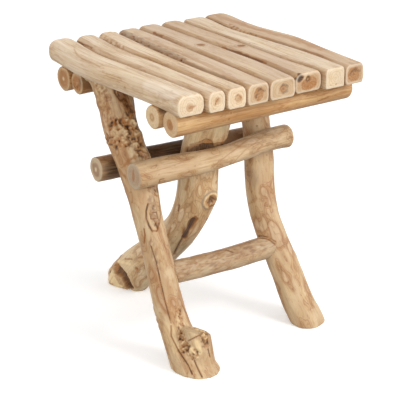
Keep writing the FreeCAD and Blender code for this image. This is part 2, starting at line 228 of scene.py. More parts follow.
def applyMarks(marks, points, normals, grain, push, stainAndPaintedShading, worn, seed):
    # Each mark moves the surface, bends the rings or stains the wood round its line; a few dark and pale
    # marks are painted shade and painted light. The numbers in ease are shares of its half width, and broken
    # makes its edge ragged
    broken = noiseAt(grain, (6, 6, 15), seed + 3)
    for row in marks:
        mark = {**usualMarks.get(row["kind"], {}), **row}
        if not mark["line"]:
            continue
        distance = lineDistance(points, mark["line"])
        width = mark["width"]
        share = distance / width
        facing = ease(-0.1, 0.35, normals @ mark["normal"]) if "normal" in mark else 1.0
        if mark["kind"] == "knot":
            swell = mark["rings"] * np.exp(-(share / 1.5) ** 2) * facing
            grow = 1 + swell * mm / np.maximum(np.linalg.norm(grain[:, :2], axis=1), 4 * mm)
            grain[:, :2] *= grow[:, None]
            rim = np.exp(-((share - 1) / 0.45) ** 2)
            pit = np.exp(-(share / 0.6) ** 2)
            push += (mark["rise"] * rim - mark["sink"] * pit) * mm * facing
            reach = mark["reach"]
            addStainAndPaintedShading(stainAndPaintedShading, "brown", mark["brown"] * ease(1.25, 0.6, share + 0.25 * broken) * facing)
            addStainAndPaintedShading(stainAndPaintedShading, "dark", mark["dark"] * ease(reach, 0.4 * reach, share + 0.5 * broken) * facing)
            addStainAndPaintedShading(stainAndPaintedShading, "pale", mark["pale"] * ease(0.2, 0.05, abs(share - 1.05)) * facing)
            addStainAndPaintedShading(stainAndPaintedShading, "grey", mark["collar"] * ease(0.16, 0.04, abs(share - 1.35)) * facing)
        elif mark["kind"] == "crack":
            inside = ease(1.0, 0.2, distance / (width * np.maximum(0.75 + 0.9 * broken, 0.15)))
            push -= mark["depth"] * mm * inside
            addStainAndPaintedShading(stainAndPaintedShading, "dark", mark["dark"] * inside)
            addStainAndPaintedShading(stainAndPaintedShading, "brown", mark["brown"] * ease(2.0, 0.6, share + 0.5 * broken))
        elif mark["kind"] == "stainAndPaintedShading":
            inside = ease(1.2, 1.2 - mark["soft"], share + mark["ragged"] * broken) * facing
            addStainAndPaintedShading(stainAndPaintedShading, mark["tone"], mark["strength"] * inside)
            push -= mark["depth"] * mm * inside
        elif mark["kind"] == "clear":
            stainAndPaintedShading *= 1 - ease(1.2, 0.6, share)[:, None]
        elif mark["kind"] == "worn":
            worn += mark["amount"] * ease(2.0, 0.2, share + 0.3 * broken)
        elif mark["kind"] == "bump":
            push += mark["rise"] * mm * np.exp(-share ** 2) * (1 + 0.3 * broken)
        elif mark["kind"] == "rough":
            near = share < 1
            zone = ease(1.0, 0.5, share + 0.25 * broken) * facing
            lumps = np.zeros(len(points))
            size = np.array(mark["size"])
            lumps[near] = 1.4 * noiseAt(points[near], size, seed + 5)
            lumps[near] += 1.1 * noiseAt(points[near], 0.45 * size, seed + 6)
            push += mark["height"] * mm * zone * lumps
            addStainAndPaintedShading(stainAndPaintedShading, "grey", zone * mark["grey"])
            addStainAndPaintedShading(stainAndPaintedShading, "brown", zone * mark["brown"] * ease(0.5, -0.3, lumps))
            addStainAndPaintedShading(stainAndPaintedShading, "dark", zone * mark["dark"] * ease(-0.35, -0.85, lumps))
            addStainAndPaintedShading(stainAndPaintedShading, "pale", zone * mark["pale"] * ease(0.3, 0.9, lumps))


def photoMarks(tree, rows):
    # Marks seen in the photograph, found on the piece by their pixels
    marks = []
    for row in rows:
        mark = dict(row)
        mark["line"] = surfaceLine(tree, row["at"])
        facing = tree.ray_cast(eye, pixelRay(row["at"][0]))[1]
        if facing is not None and row["kind"] in ("knot", "rough"):
            mark["normal"] = np.array(row.get("facing", facing))
        marks.append(mark)
    return marks


def hiddenMarks(tree, points, normals, tangent, counts, seed):
    # The same kinds of marks on the sides that the photograph doesn't show
    dice = random.Random(seed)
    away = np.flatnonzero(np.sum(normals * (np.array(eye) - points), axis=1) < 0)
    marks = []
    for kind, amount in counts.items():
        for number in range(amount):
            spot = int(away[dice.randrange(len(away))])
            mark = {"kind": kind}
            if kind == "knot":
                mark.update(line=[points[spot]], normal=normals[spot])
                mark.update(width=dice.uniform(3, 7), dark=dice.uniform(0.1, 0.7))
            else:
                mark["line"] = trailLine(tree, points[spot], tangent[spot], dice.uniform(20, 90), dice)
                mark["width"] = dice.uniform(1.4, 2.2) if kind == "crack" else dice.uniform(4, 10)
                mark["tone"] = dice.choice(("brown", "grey", "pale"))
                mark["strength"] = dice.uniform(0.3, 0.7)
                mark["height"] = 1.2
            marks.append(mark)
    return marks


def endGrain(wood, along, points, normals, tangent, grain, stainAndPaintedShading):
    # Sawn ends: how far each point is from the rim, and the heart round the pith
    facing = np.abs(np.sum(normals * tangent, axis=1))
    endMask = ease(0.6, 0.85, facing)
    rim = np.ones(len(points))
    sides = np.flatnonzero(facing < 0.45)
    sideTree = KDTree(len(sides))
    for place, spot in enumerate(sides):
        sideTree.insert(points[spot], place)
    sideTree.balance()
    for spot in np.flatnonzero(endMask > 0.02):
        rim[spot] = min(sideTree.find(points[spot])[2] / mm, 30)
    for end in wood["ends"]:
        here = endMask * (np.sign(along - along.mean()) == end["side"])
        pith = np.array(end.get("pith", (0, 0))) * mm
        reach = np.linalg.norm((grain[:, :2] - pith) / np.array(end.get("shape", (1, 1))), axis=1) / mm
        reach += 1.8 * noiseAt(points, (8, 8, 8), wood["seed"] + 9)
        addStainAndPaintedShading(stainAndPaintedShading, "grey", end.get("grey", 0.0) * here)
        heart = end["heart"]
        addStainAndPaintedShading(stainAndPaintedShading, "brown", end.get("brown", 0.5) * here * ease(heart + 1.5, heart - 1.5, reach))
        addStainAndPaintedShading(stainAndPaintedShading, "dark", end.get("dark", 0.0) * here * ease(3.5, 1.0, reach))
        addStainAndPaintedShading(stainAndPaintedShading, "pale", end.get("pale", 0.0) * here * ease(5.0, 2.0, reach))
        addStainAndPaintedShading(stainAndPaintedShading, "pale", end.get("bleach", 0.0) * here * ease(heart - 1.5, heart + 3, reach))
        grain[:, :2] -= here[:, None] * pith
    return endMask, rim


def woodPiece(wood, look):
    # One branch: even quads, grain places, lumps, knots, cracks, stains, some painted shade and light, and
    # end grain
    node, seed = wood["node"], wood["seed"]
    piece = remeshedCopy(node, look["voxel"])
    mesh = piece.data
    points, normals = meshArrays(mesh)
    grain, tangent = grainPlaces(points, look["axis"], look["slices"])
    tree = BVHTree.FromPolygons([v.co for v in mesh.vertices], [p.vertices for p in mesh.polygons])
    push = np.zeros(len(points))
    turned = grain + np.array([0, 0, seed * grainShift])
    flat = ease(0.9, 0.985, np.abs(normals[:, 2])) if look["planed"] else 0.0
    push += look["lump"] * mm * noiseAt(turned, look["lumpSize"], seed) * (1 - flat)
    push += look["ripple"] * mm * noiseAt(turned, look["rippleSize"], seed + 1) * (1 - 0.7 * flat)
    clouds = 0.6 + 0.5 * noiseAt(turned, (25, 25, 70), seed + 2)
    stainAndPaintedShading = np.stack([wood["tint"].get(tone, 0.0) * clouds for tone in tones], axis=1)
    addStainAndPaintedShading(stainAndPaintedShading, "pale", look["planedPale"] * flat * clouds)
    sides = (1 - flat) * ease(0.85, 0.6, np.abs(np.sum(normals * tangent, axis=1)))
    addStainAndPaintedShading(stainAndPaintedShading, "brown", wood.get("edgeBrown", 0.0) * sides * clouds)
    marks = photoMarks(tree, wood["marks"])
    marks += hiddenMarks(tree, points, normals, tangent, look["hidden"], seed)
    worn = np.zeros(len(points))
    applyMarks(marks, points, normals, grain, push, stainAndPaintedShading, worn, seed)
    endMask, rim = endGrain(wood, points[:, look["axis"]], points, normals, tangent, grain, stainAndPaintedShading)
    points += normals * push[:, None]
    points[:, 2] = np.maximum(points[:, 2], 0)  # soles stay level on the floor
    mesh.vertices.foreach_set("co", points.astype(np.float32).ravel())
    grain[:, 2] += seed * grainShift
    for name, kind, field, values in (
        ("grain", "FLOAT_VECTOR", "vector", grain),
        ("stainAndPaintedShading", "FLOAT_COLOR", "color", np.clip(stainAndPaintedShading, 0, 1)),
        ("ends", "FLOAT_VECTOR", "vector", np.stack([endMask, rim, worn], axis=1)),
    ):
        mesh.attributes.new(name, kind, "POINT").data.foreach_set(field, values.astype(np.float32).ravel())
    mesh.polygons.foreach_set("use_smooth", [True] * len(mesh.polygons))
    mesh.update()
    mesh.materials.append(look["material"])
    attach(piece, "root")
    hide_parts(node)
    return piece


def branchTeak(name, wood):
    # Debarked teak branch, sanded and left unoiled: soft dull light, growth rings that draw
    # contour lines where the surface cuts them, fine long fibres and slow changes of tone
    material = bpy.data.materials.new(name)
    material.use_nodes = True
    tree = material.node_tree
    shader = tree.nodes["Principled BSDF"]
    grain = addNode(tree, "ShaderNodeAttribute", {"attribute_name": "grain"}, {}).node.outputs["Vector"]
    stainAndPaintedShading = addNode(tree, "ShaderNodeAttribute", {"attribute_name": "stainAndPaintedShading"}, {}).node.outputs
    ends = addNode(tree, "ShaderNodeAttribute", {"attribute_name": "ends"}, {}).node.outputs["Vector"]
    endParts = addNode(tree, "ShaderNodeSeparateXYZ", {}, {0: ends}).node.outputs
    stainAndPaintedShadingParts = addNode(tree, "ShaderNodeSeparateColor", {}, {0: stainAndPaintedShading["Color"]}).node.outputs

    # Noise with waves of real sizes, drawn out along the branch
    waves = {}
    details = {"drift": 3.0, "patch": wood["patchDetail"], "streak": 3.0, "fibre": 4.0, "speck": 2.0}
    for kind, detail in details.items():
        across, along = wood[kind + "Size"]
        scales = (1000 / across, 1000 / across, 1000 / along)
        place = addNode(tree, "ShaderNodeVectorMath", {"operation": "MULTIPLY", 1: scales}, {0: grain})
        settings = {"Scale": 1.0, "Detail": detail, "Roughness": 0.6}
        waves[kind] = addNode(tree, "ShaderNodeTexNoise", settings, {"Vector": place})

    patch = addNode(tree, "ShaderNodeMath", {"operation": "ADD"}, {0: waves["patch"], 1: endParts["Z"]})

    # Growth rings: distance from the pith, with a slow drift along the branch
    level = addNode(tree, "ShaderNodeVectorMath", {"operation": "MULTIPLY", 1: (1, 1, 0)}, {0: grain})
    fromPith = addNode(tree, "ShaderNodeVectorMath", {"operation": "LENGTH"}, {0: level})
    drift = addNode(tree, "ShaderNodeMath", {"operation": "MULTIPLY", 1: wood["drift"]}, {0: waves["drift"]})
    settings = {"operation": "MULTIPLY_ADD", 1: 1000 / wood["ringSpacing"]}
    ringCount = addNode(tree, "ShaderNodeMath", settings, {0: fromPith, 2: drift})
    ringPlace = addNode(tree, "ShaderNodeMath", {"operation": "FRACT"}, {0: ringCount})
    stops = [(0.0, 0.2), (0.1, 0.0), (0.6, 0.1), (0.84, 0.5), (0.94, 1.0), (1.0, 0.2)]
    ringLine = addNode(tree, "ShaderNodeValToRGB", {"stops": stops}, {"Fac": ringPlace})
    ringNumber = addNode(tree, "ShaderNodeMath", {"operation": "FLOOR"}, {0: ringCount})
    ringTone = addNode(tree, "ShaderNodeTexWhiteNoise", {"noise_dimensions": "1D"}, {"W": ringNumber})

    # How much of each tone shows where
    shares = {}
    for kind, source, low, high, first, last in (
        ("streak", waves["streak"], 0.5, 0.72, 0.0, wood["streakAmount"]),
        ("bleached", waves["streak"], 0.5, 0.28, 0.0, wood["bleachAmount"]),
        ("ringTone", ringTone, 0.0, 1.0, 0.0, wood["ringToneAmount"]),
        ("lineFade", patch, 0.35, 0.6, 0.3 * wood["ringAmount"], wood["ringAmount"]),
        ("speck", waves["speck"], 0.64, 0.74, 0.0, wood["speckAmount"]),
        ("ends", endParts["X"], 0.0, 1.0, 0.0, wood["endAmount"]),
        ("endLine", endParts["X"], 0.0, 1.0, 0.0, wood["endRings"]),
        ("rim", endParts["Y"], wood["rim"] - 1.5, wood["rim"] + 1.5, wood["rimAmount"], 0.0),
        ("broken", waves["fibre"], 0.3, 0.7, 0.6, 1.2),
        ("rough", waves["fibre"], 0.3, 0.7, wood["rough"] + 0.08, wood["rough"] - 0.08),
    ):
        settings = {"From Min": low, "From Max": high, "To Min": first, "To Max": last}
        shares[kind] = addNode(tree, "ShaderNodeMapRange", settings, {"Value": source})
    for kind, first, second in (
        ("line", ringLine, shares["lineFade"]),
        ("endLine", ringLine, shares["endLine"]),
        ("rim", shares["rim"], endParts["X"]),
        ("greyMark", stainAndPaintedShadingParts["Green"], shares["broken"]),
        ("brownMark", stainAndPaintedShadingParts["Red"], shares["broken"]),
        ("paleMark", stainAndPaintedShading["Alpha"], shares["broken"]),
        ("darkMark", stainAndPaintedShadingParts["Blue"], shares["broken"]),
    ):
        settings = {"operation": "MULTIPLY", "use_clamp": True}
        shares[kind] = addNode(tree, "ShaderNodeMath", settings, {0: first, 1: second})

    # Tones laid over each other: wood, rings, fibres, sawn ends, then the stains and painted shade and light
    # of the marks
    colour = addNode(tree, "ShaderNodeValToRGB", {"stops": wood["patches"]}, {"Fac": patch})
    fibreStops = [(0.3, wood["fibreDark"]), (0.42, wood["fibreMiddle"]), (0.56, "ffffff")]
    fibreTone = addNode(tree, "ShaderNodeValToRGB", {"stops": fibreStops}, {"Fac": waves["fibre"]})
    settings = {"data_type": "RGBA", "blend_type": "MULTIPLY", 0: 1.0}
    colour = addNode(tree, "ShaderNodeMix", settings, {6: colour, 7: fibreTone})
    for kind, tone in (
        ("streak", "streak"), ("bleached", "pale"), ("ringTone", "ringTone"), ("line", "ringLine"),
        ("speck", "brown"), ("ends", "endTone"), ("endLine", "ringLine"), ("greyMark", "grey"),
        ("paleMark", "pale"), ("brownMark", "brown"), ("darkMark", "dark"), ("rim", "rimTone"),
    ):
        settings = {"data_type": "RGBA", 7: linear(wood[tone])}
        colour = addNode(tree, "ShaderNodeMix", settings, {0: shares[kind], 6: colour})
    tree.links.new(colour, shader.inputs["Base Color"])

    # Dull sanded wood: rougher in the soft fibres, with a faint raised grain
    tree.links.new(shares["rough"], shader.inputs["Roughness"])
    settings = {"operation": "MULTIPLY_ADD", 1: -0.4}
    raised = addNode(tree, "ShaderNodeMath", settings, {0: ringLine, 2: waves["fibre"]})
    settings = {"Strength": wood["bump"], "Distance": 0.5 * mm}
    bump = addNode(tree, "ShaderNodeBump", settings, {"Height": raised})
    tree.links.new(bump, shader.inputs["Normal"])
    shader.inputs["IOR"].default_value = 1.5
    return material


# Colours in sRGB and sizes in millimetres. Rings and fibres are drawn two or three times as
# coarse as in real teak, so that they show
slatWood = {
    "patches": [(0.30, "e9d6bb"), (0.45, "e1caa9"), (0.55, "d9bf9a"), (0.56, "bd9464"), (0.58, "d6bb95"),
                (0.64, "ceaf86"), (0.65, "a97d4c"), (0.67, "c8a67c"), (0.74, "ba9467")],
    "patchSize": (18, 120), "patchDetail": 3.0,
    "streakSize": (9, 150), "streak": "b5955f", "streakAmount": 0.22, "bleachAmount": 0.25,
    "driftSize": (30, 120), "drift": 5.0, "ringSpacing": 4.4, "ringTone": "d0b188", "ringToneAmount": 0.25,
    "ringLine": "8f6238", "ringAmount": 0.32, "endRings": 0.35,
    "fibreSize": (2.4, 80), "fibreDark": "c9b193", "fibreMiddle": "efe5d8",
    "speckSize": (3.5, 9), "speckAmount": 0.4,
    "brown": "9a5f20", "grey": "97866f", "pale": "eedecb", "dark": "2f1a0c",
    "rim": 4.5, "rimTone": "e8dac2", "rimAmount": 0.4, "endTone": "edd3ab", "endAmount": 0.5,
    "rough": 0.62, "bump": 0.4,
}
railWood = dict(slatWood)
railWood.update({
    "patches": [(0.30, "dfbd8a"), (0.50, "d2a772"), (0.51, "ad7a45"), (0.535, "cb9d67"), (0.70, "b98953")],
    "streak": "9a6a3d", "streakAmount": 0.5, "ringTone": "a87747", "rimTone": "cdb48d", "endTone": "b98f5f",
    "pale": "e6cda6", "speckAmount": 0.6,
})
barWood = dict(slatWood)
barWood.update({
    "patches": [(0.30, "dcc4a1"), (0.44, "d6ba93"), (0.52, "d0b28a"), (0.525, "9c7148"), (0.54, "cbab82"),
                (0.58, "c6a57b"), (0.585, "946840"), (0.60, "bf9b71"), (0.64, "b99468"), (0.645, "86592f"),
                (0.66, "c6a57e"), (0.74, "d6bb98")],
    "patchSize": (20, 50), "patchDetail": 1.2, "driftSize": (26, 70), "drift": 8.0,
    "streak": "9c7a55", "streakAmount": 0.2, "ringTone": "b8956c", "ringToneAmount": 0.25,
    "ringLine": "7d5331", "ringAmount": 0.35, "ringSpacing": 5.0,
    "fibreSize": (2.8, 45), "fibreDark": "d6c5b1", "fibreMiddle": "f2ebe2",
    "rimTone": "c2b094", "endTone": "b0967a", "endAmount": 0.7, "pale": "e8cfa6", "speckAmount": 0.45,
})
legWood = dict(barWood)
legWood.update({
    "patches": [(0.30, "dcc59f"), (0.44, "d5ba92"), (0.53, "cdae85"), (0.535, "9f7147"), (0.55, "c7a379"),
                (0.59, "c09a6f"), (0.595, "93653a"), (0.61, "b98f63"), (0.645, "b1865a"), (0.65, "875a30"),
                (0.67, "c7a57e"), (0.74, "dbc19e")],
    "patchSize": (22, 54), "fibreDark": "dfd1bf", "fibreMiddle": "f6f0e9",
    "rimTone": "c9b08a", "endTone": "b99a70", "pale": "ebcf9d", "speckAmount": 0.6,
})

slatLook = {
    "material": branchTeak("planed_teak_slat", slatWood), "axis": 1,
    "voxel": 1.5, "slices": 24, "planed": True,
    "planedPale": 0.4, "lump": 0.3, "lumpSize": (22, 22, 60), "ripple": 0.12, "rippleSize": (6, 6, 30),
    "hidden": {"knot": 3, "crack": 1, "stainAndPaintedShading": 3},
}
railLook = {
    "material": branchTeak("sanded_teak_rail", railWood), "axis": 0,
    "voxel": 1.5, "slices": 20, "planed": True,
    "planedPale": 0.0, "lump": 0.5, "lumpSize": (30, 30, 60), "ripple": 0.2, "rippleSize": (7, 7, 30),
    "hidden": {"knot": 3, "crack": 1, "stainAndPaintedShading": 3},
}
barLook = {
    "material": branchTeak("sanded_teak_bar", barWood), "axis": 0,
    "voxel": 1.5, "slices": 20, "planed": False,
    "planedPale": 0.0, "lump": 0.9, "lumpSize": (26, 26, 50), "ripple": 0.3, "rippleSize": (8, 8, 22),
    "hidden": {"knot": 5, "crack": 3, "stainAndPaintedShading": 4},
}
legLook = {
    "material": branchTeak("knotty_teak_leg", legWood), "axis": 2,
    "voxel": 1.4, "slices": 24, "planed": False,
    "planedPale": 0.0, "lump": 1.2, "lumpSize": (26, 26, 48), "ripple": 0.4, "rippleSize": (8, 8, 20),
    "hidden": {"knot": 9, "crack": 5, "stainAndPaintedShading": 6, "rough": 2},
}
print("materials ready")

backEnd = {"side": 1, "heart": 9, "brown": 0.5}
slat1 = {
    "node": "slat_1", "seed": 1, "edgeBrown": 0.12, "tint": {"pale": 0.3, "grey": 0.1},
    "ends": [{"side": -1, "heart": 7, "brown": 0.5, "pith": (-3, 2)}, backEnd],
    "marks": [
        seen("crack", [(74, 49), (77, 55), (83, 59), (90, 62), (100, 67)], 1.2, depth=0.4, dark=0.1,
             brown=0.4),
        seen("stainAndPaintedShading", [(62, 58), (82, 66), (110, 76), (150, 92)], 10.0, tone="brown", strength=0.12),
        seen("stainAndPaintedShading", [(148, 84), (175, 95)], 16.0, tone="pale", strength=0.62, ragged=0.3),
        seen("knot", [(125, 87)], 1.8, rings=1.5, dark=0.5),
        seen("knot", [(172, 91)], 1.5, rings=1.5, dark=0.3),
        seen("stainAndPaintedShading", [(190, 108), (195, 106)], 3.0, tone="brown", strength=0.8, ragged=0.9),
    ],
}
slat2 = {
    "node": "slat_2", "seed": 2, "edgeBrown": 0.35, "tint": {"pale": 0.3, "brown": 0.05, "grey": 0.1},
    "ends": [{"side": -1, "heart": 6, "brown": 0.45, "dark": 0.15, "pith": (1, -2)}, backEnd],
    "marks": [
        seen("stainAndPaintedShading", [(76, 40), (83, 44), (92, 48)], 2.6, tone="brown", strength=0.9),
        seen("stainAndPaintedShading", [(77, 41), (84, 45)], 1.8, tone="dark", strength=0.5),
        seen("stainAndPaintedShading", [(95, 46), (115, 53)], 4.0, tone="brown", strength=0.3),
        seen("stainAndPaintedShading", [(215, 104), (218, 99)], 2.6, tone="brown", strength=1.0, ragged=0.9),
    ],
}
slat3 = {
    "node": "slat_3", "seed": 3, "edgeBrown": 0.4, "tint": {"brown": 0.1, "pale": 0.15},
    "ends": [{"side": -1, "heart": 8, "brown": 0.5, "dark": 0.1, "pith": (2, 0)}, backEnd],
    "marks": [
        seen("rough", [(99, 36), (110, 42), (122, 48)], 7.0, height=0.9, brown=0.5, dark=0.2),
        seen("stainAndPaintedShading", [(128, 52), (150, 60)], 3.5, tone="brown", strength=0.4),
        seen("stainAndPaintedShading", [(235, 99), (238, 95), (241, 98)], 2.4, tone="brown", strength=0.9, ragged=0.9),
    ],
}
slat4 = {
    "node": "slat_4", "seed": 4, "edgeBrown": 0.6, "tint": {"brown": 0.45, "grey": 0.35},
    "ends": [{"side": -1, "heart": 12, "brown": 0.8, "shape": (0.85, 1.15), "dark": 0.2}, backEnd],
    "marks": [
        seen("rough", [(120, 33), (142, 43), (165, 53), (182, 61)], 14.0, height=0.7, size=(5, 14, 5),
             grey=0.85, brown=0.6, dark=0.5, pale=0.1),
        seen("stainAndPaintedShading", [(146, 38), (175, 51), (205, 64), (240, 81)], 9.0, tone="brown", strength=0.5),
        seen("stainAndPaintedShading", [(186, 63), (215, 74), (235, 83)], 3.5, tone="grey", strength=0.9),
        seen("knot", [(181, 60)], 4.5, rise=0.4, sink=4.0, dark=1.0, brown=0.8),
        seen("knot", [(142, 42)], 2.5, sink=1.0, dark=0.5),
        seen("stainAndPaintedShading", [(256, 97), (259, 89), (265, 91)], 2.6, tone="dark", strength=0.55, ragged=0.9),
    ],
}
slat5 = {
    "node": "slat_5", "seed": 5, "edgeBrown": 0.6, "tint": {"brown": 0.5, "grey": 0.45},
    "ends": [{"side": -1, "heart": 8, "brown": 0.8, "dark": 0.5, "grey": 0.3}, backEnd],
    "marks": [
        seen("stainAndPaintedShading", [(154, 33), (162, 36)], 4.5, tone="brown", strength=1.0, depth=0.4),
        seen("stainAndPaintedShading", [(154, 33), (161, 36)], 2.4, tone="dark", strength=0.4),
        seen("knot", [(201, 45)], 8.5, sink=0.3, dark=0.35, brown=1.0, collar=0.7, reach=0.9),
        seen("stainAndPaintedShading", [(205, 56), (235, 68), (262, 80)], 4.0, tone="brown", strength=0.6),
        seen("knot", [(176, 41)], 3.0, dark=0.1, brown=0.4),
        seen("stainAndPaintedShading", [(280, 89), (283, 84), (288, 86), (287, 91), (283, 93)], 2.0, tone="dark",
             strength=0.5, ragged=0.9),
    ],
}
slat6 = {
    "node": "slat_6", "seed": 6, "edgeBrown": 0.6, "tint": {"brown": 0.6, "grey": 0.4},
    "ends": [{"side": -1, "heart": 17, "brown": 0.9, "shape": (1.1, 0.9)}, backEnd],
    "marks": [
        seen("knot", [(241, 46)], 9.0, sink=0.3, dark=0.25, brown=1.0, collar=0.7, reach=0.9),
        seen("stainAndPaintedShading", [(222, 48), (245, 55), (266, 63)], 4.5, tone="brown", strength=1.0, depth=0.5),
        seen("stainAndPaintedShading", [(226, 49), (245, 55), (262, 62)], 2.6, tone="dark", strength=0.5),
        seen("stainAndPaintedShading", [(190, 30), (210, 37)], 5.0, tone="brown", strength=0.4),
        seen("knot", [(300, 78)], 9.0, facing=(0, -1, 0.3), rise=0.3, sink=1.4, dark=1.0, brown=1.0,
             reach=1.0),
        seen("knot", [(308, 79)], 7.0, facing=(0, -1, 0.3), rise=0.6, sink=1.0, dark=1.0, brown=1.0,
             reach=1.0),
        seen("clear", [(308, 79)], 2.6),
    ],
}
slat7 = {
    "node": "slat_7", "seed": 7, "edgeBrown": 0.35, "tint": {"pale": 0.2, "grey": 0.4},
    "ends": [{"side": -1, "heart": 0, "brown": 0.0}, backEnd],
    "marks": [
        seen("knot", [(336, 84)], 1.8, dark=0.7),
        seen("knot", [(250, 43)], 1.5, dark=0.4),
    ],
}
slat8 = {
    "node": "slat_8", "seed": 8, "edgeBrown": 0.65, "tint": {"brown": 0.85, "grey": 0.4},
    "ends": [{"side": -1, "heart": 14, "brown": 0.85, "dark": 0.3, "grey": 0.35, "pith": (-3, 0)}, backEnd],
    "marks": [
        seen("stainAndPaintedShading", [(216, 15), (250, 27), (285, 36), (322, 49)], 13.0, tone="brown", strength=0.62),
        seen("rough", [(228, 24), (240, 31), (254, 37)], 8.0, height=0.8, brown=0.8, dark=0.6, pale=0.2),
        seen("stainAndPaintedShading", [(262, 39), (285, 45), (322, 57)], 6.0, tone="grey", strength=0.9),
        seen("crack", [(206, 18), (220, 24), (236, 32), (252, 38), (268, 41), (281, 45)], 1.8, depth=1.0,
             dark=0.8),
        seen("stainAndPaintedShading", [(350, 63), (362, 66)], 7.0, tone="grey", strength=0.6),
        seen("stainAndPaintedShading", [(350, 74), (354, 69), (360, 71)], 2.6, tone="dark", strength=0.55, ragged=0.9),
    ],
}
slats = [woodPiece(wood, slatLook) for wood in (slat1, slat2, slat3, slat4, slat5, slat6, slat7, slat8)]
print("slats:", len(slats))

frontBatten = {
    "node": "front_batten", "seed": 11, "tint": {"brown": 0.15},
    "ends": [{"side": -1, "heart": 9, "brown": 0.7, "dark": 0.3, "bleach": 0.45}, {"side": 1, "heart": 7}],
    "marks": [
        seen("knot", [(231, 113)], 1.8, dark=0.6, brown=0.9),
        seen("knot", [(229, 119)], 2.0, dark=0.5, brown=0.9),
        seen("crack", [(318, 101), (328, 97)], 1.2, depth=0.5, dark=0.5),
    ],
}
rearBatten = {
    "node": "rear_batten", "seed": 12, "tint": {"brown": 0.5, "dark": 0.1},
    "ends": [{"side": -1, "heart": 15, "brown": 0.75, "pale": 0.8}, {"side": 1, "heart": 8}], "marks": [],
}
frontRail = {
    "node": "front_leg_rail", "seed": 13, "tint": {"brown": 0.2, "grey": 0.2},
    "ends": [{"side": -1, "heart": 6, "brown": 0.35, "pale": 0.4, "bleach": 0.7}, {"side": 1, "heart": 6}],
    # painted shade: a dark band along the top of this rail, where the slats above shade it
    "marks": [seen("stainAndPaintedShading", [(162, 109), (175, 111)], 9.0, tone="dark", strength=0.55)],
}
rearRail = {
    "node": "rear_leg_rail", "seed": 14, "tint": {"brown": 0.6, "dark": 0.15},
    "ends": [{"side": -1, "heart": 13, "brown": 0.8, "pale": 0.3}, {"side": 1, "heart": 7}],
    "marks": [
        seen("rough", [(74, 84), (78, 88)], 10.0, height=1.2, size=(6, 4, 9), brown=0.9, dark=0.7,
             pale=0.6),
        # painted shade: a dark patch where this rail meets the slat above and the front left leg, in their
        # shadow
        seen("stainAndPaintedShading", [(84, 82), (90, 84)], 16.0, tone="dark", strength=0.6, ragged=0.2),
    ],
}
rails = [woodPiece(wood, railLook) for wood in (frontBatten, rearBatten, frontRail, rearRail)]
print("battens and rails:", len(rails))

frontBar = {
    "node": "front_cross_bar", "seed": 21, "tint": {"pale": 0.1, "brown": 0.12},
    "ends": [
        {"side": -1, "heart": 8, "brown": 0.8, "shape": (0.5, 1.5), "grey": 0.4, "pith": (1, 0)},
        {"side": 1, "heart": 6, "grey": 0.3},
    ],
    "marks": [
        seen("worn", [(236, 146), (252, 146), (258, 140)], 11.0, amount=0.16),
        seen("worn", [(262, 133), (270, 131)], 6.0, amount=0.12),
        seen("worn", [(150, 176), (190, 168), (215, 160)], 14.0, amount=-0.06),
        seen("stainAndPaintedShading", [(140, 180), (165, 174), (190, 168)], 26.0, tone="brown", strength=0.22, ragged=0.3),
        seen("bump", [(248, 145)], 16.0, rise=1.5),
        seen("crack", [(164, 179), (160, 180), (159, 183), (162, 184)], 1.4, depth=0.8, dark=0.5,
             brown=0.8),
        seen("crack", [(211, 168), (221, 160), (237, 148), (253, 136), (263, 133)], 1.0, depth=0.0,
             dark=0.05, brown=0.45),
        seen("crack", [(233, 163), (245, 150), (257, 142), (263, 145), (253, 153)], 1.0, depth=0.0,
             dark=0.05, brown=0.45),
        seen("crack", [(141, 176), (159, 170), (177, 164), (190, 159), (172, 159)], 1.0, depth=0.0,
             dark=0.05, brown=0.45),
        seen("knot", [(231, 163)], 1.8, dark=0.8),
        seen("knot", [(195, 166)], 1.5, dark=0.6),
        seen("knot", [(287, 145)], 1.5, dark=0.6),
    ],
}
rearBar = {
    "node": "rear_cross_bar", "seed": 22, "tint": {"brown": 0.6, "dark": 0.4},
    "ends": [{"side": -1, "heart": 12, "brown": 0.3, "pale": 0.9, "bleach": 0.7}, {"side": 1, "heart": 7}],
    "marks": [
        # partly the darker wood of this bar and partly painted shade: a dark band over its front, where the
        # top and legs shade it
        seen("stainAndPaintedShading", [(116, 170), (150, 155), (185, 143)], 34.0, tone="dark", strength=0.85, ragged=0.2),
        seen("stainAndPaintedShading", [(104, 158), (118, 157)], 5.0, tone="dark", strength=0.6),
        seen("stainAndPaintedShading", [(106, 172), (120, 171)], 5.0, tone="dark", strength=0.6),
        seen("crack", [(106, 165), (118, 163)], 1.4, depth=0.8, dark=0.7),
    ],
}
stretcher = {
    "node": "lower_stretcher", "seed": 23, "tint": {"grey": 0.75, "brown": 0.1},
    "ends": [],
    "marks": [
        seen("rough", [(178, 268), (215, 258), (265, 242)], 26.0, height=0.7, brown=0.4, dark=0.35,
             pale=0.1, grey=0.55, size=(18, 5, 5)),
        seen("crack", [(226, 250), (233, 252)], 2.0, depth=1.2, dark=0.6),
        # a shallow groove along the joint with the front right leg, darkened as painted contact shade
        seen("crack", [(258, 238), (268, 239), (275, 244)], 2.4, depth=0.8, dark=0.6, brown=0.8),
        seen("stainAndPaintedShading", [(192, 258), (225, 250), (255, 240)], 5.0, tone="brown", strength=0.5),
    ],
}
bars = [woodPiece(wood, barLook) for wood in (frontBar, rearBar, stretcher)]
print("bars:", len(bars))

